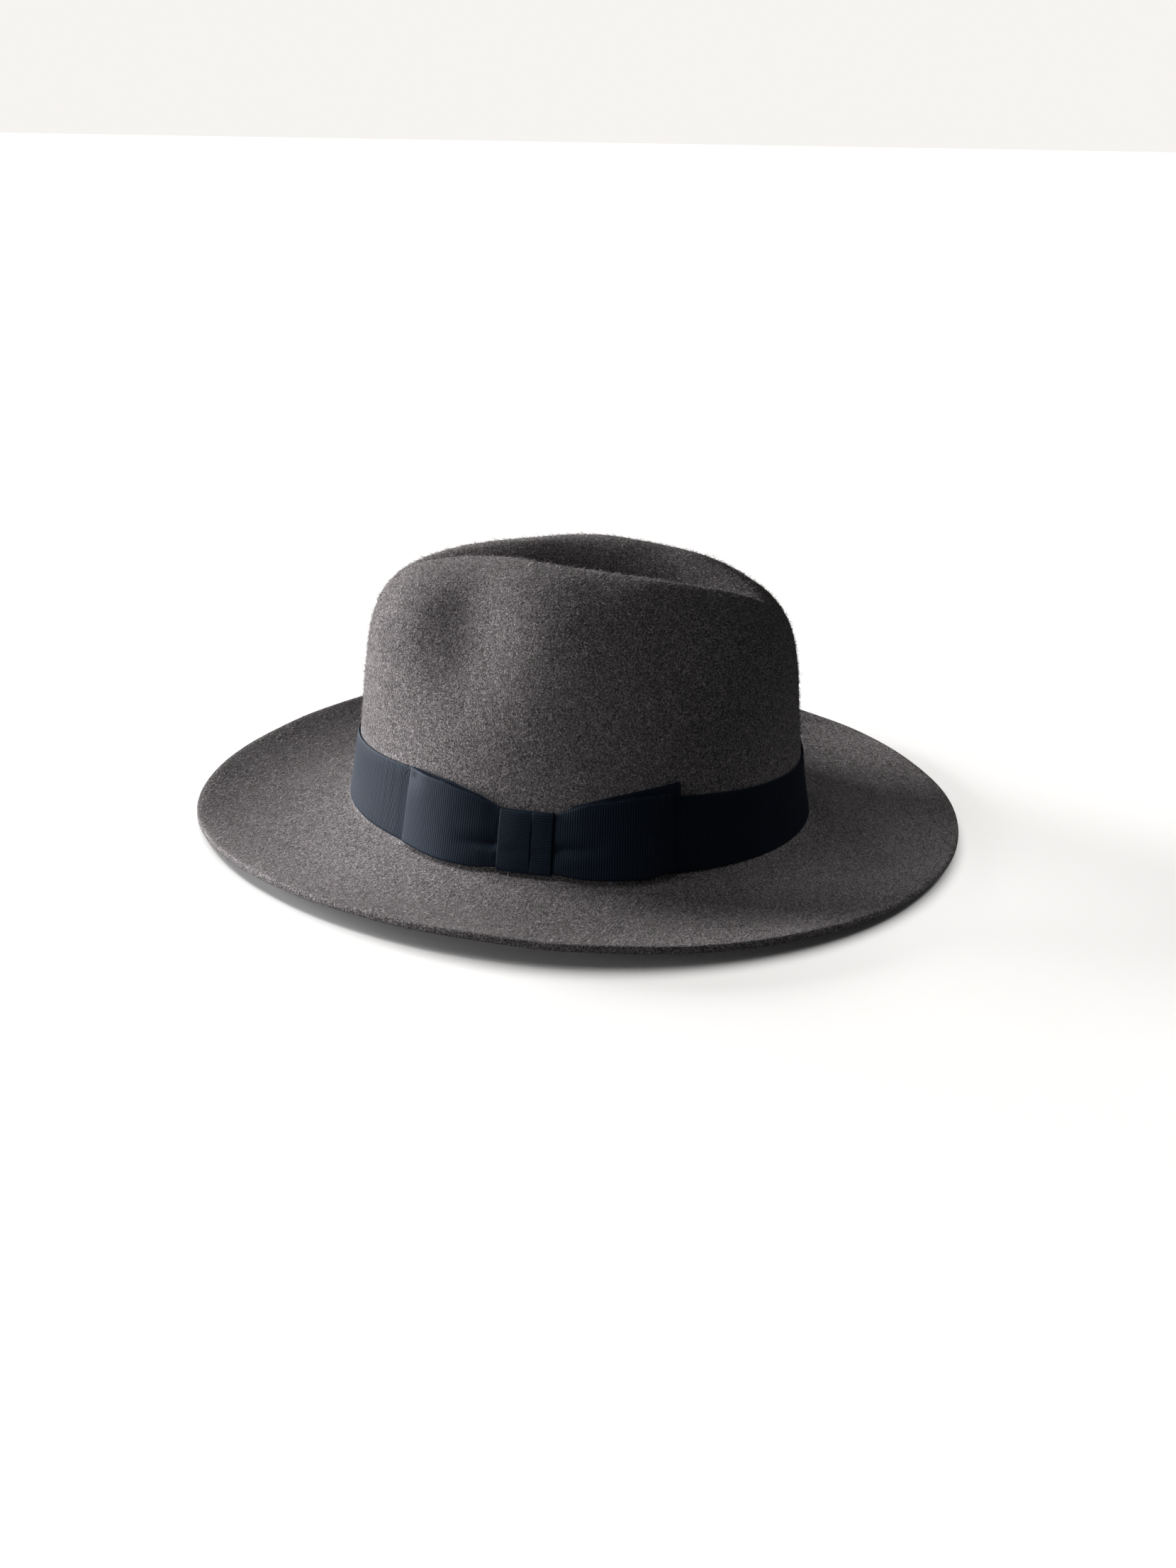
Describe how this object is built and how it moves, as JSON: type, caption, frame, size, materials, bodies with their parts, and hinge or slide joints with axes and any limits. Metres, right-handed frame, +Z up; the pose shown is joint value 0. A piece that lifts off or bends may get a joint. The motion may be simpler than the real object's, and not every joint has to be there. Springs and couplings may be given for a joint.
{
  "type": "fedora hat",
  "caption": "Soft-crowned felt fedora with a teardrop dent, pinched front, ribbon hatband with a flat side bow, leather sweatband and satin lining.",
  "frame": {"origin": "middle of the surface that the brim rests on", "axes": "+Z up through the crown, -Y towards the front of the hat, +X towards the wearer's left, where the bow is"},
  "size_m": [0.3052, 0.3448, 0.1186],
  "materials": {
    "felt": "matte heathered velour felt",
    "ribbon": "ribbed grosgrain with a soft sheen",
    "leather": "smooth grained leather",
    "satin": "lustrous satin",
    "tape": "plain woven tape",
    "reed": "smooth flexible plastic",
    "thread": "twisted sewing thread"
  },
  "bodies": {
    "root": {"felt_body": "felt", "hatband_ribbon": "ribbon", "bow_front_loop": "ribbon", "bow_rear_loop": "ribbon", "bow_tail": "ribbon", "bow_knot_wrap": "ribbon", "bow_knot_turn": "ribbon", "sweatband": "leather", "sweatband_reed": "reed", "reed_tape": "tape", "sweatband_stitching": "thread", "sweatband_seam_thread": "thread", "sweatband_bow_loops": "ribbon", "sweatband_bow_knot": "ribbon", "lining_wall": "satin", "lining_tip": "satin", "lining_piping": "tape", "bow_tack_front": "thread", "band_tack_front": "thread", "band_tack_right": "thread", "band_tack_back": "thread"}
  },
  "joints": []
}
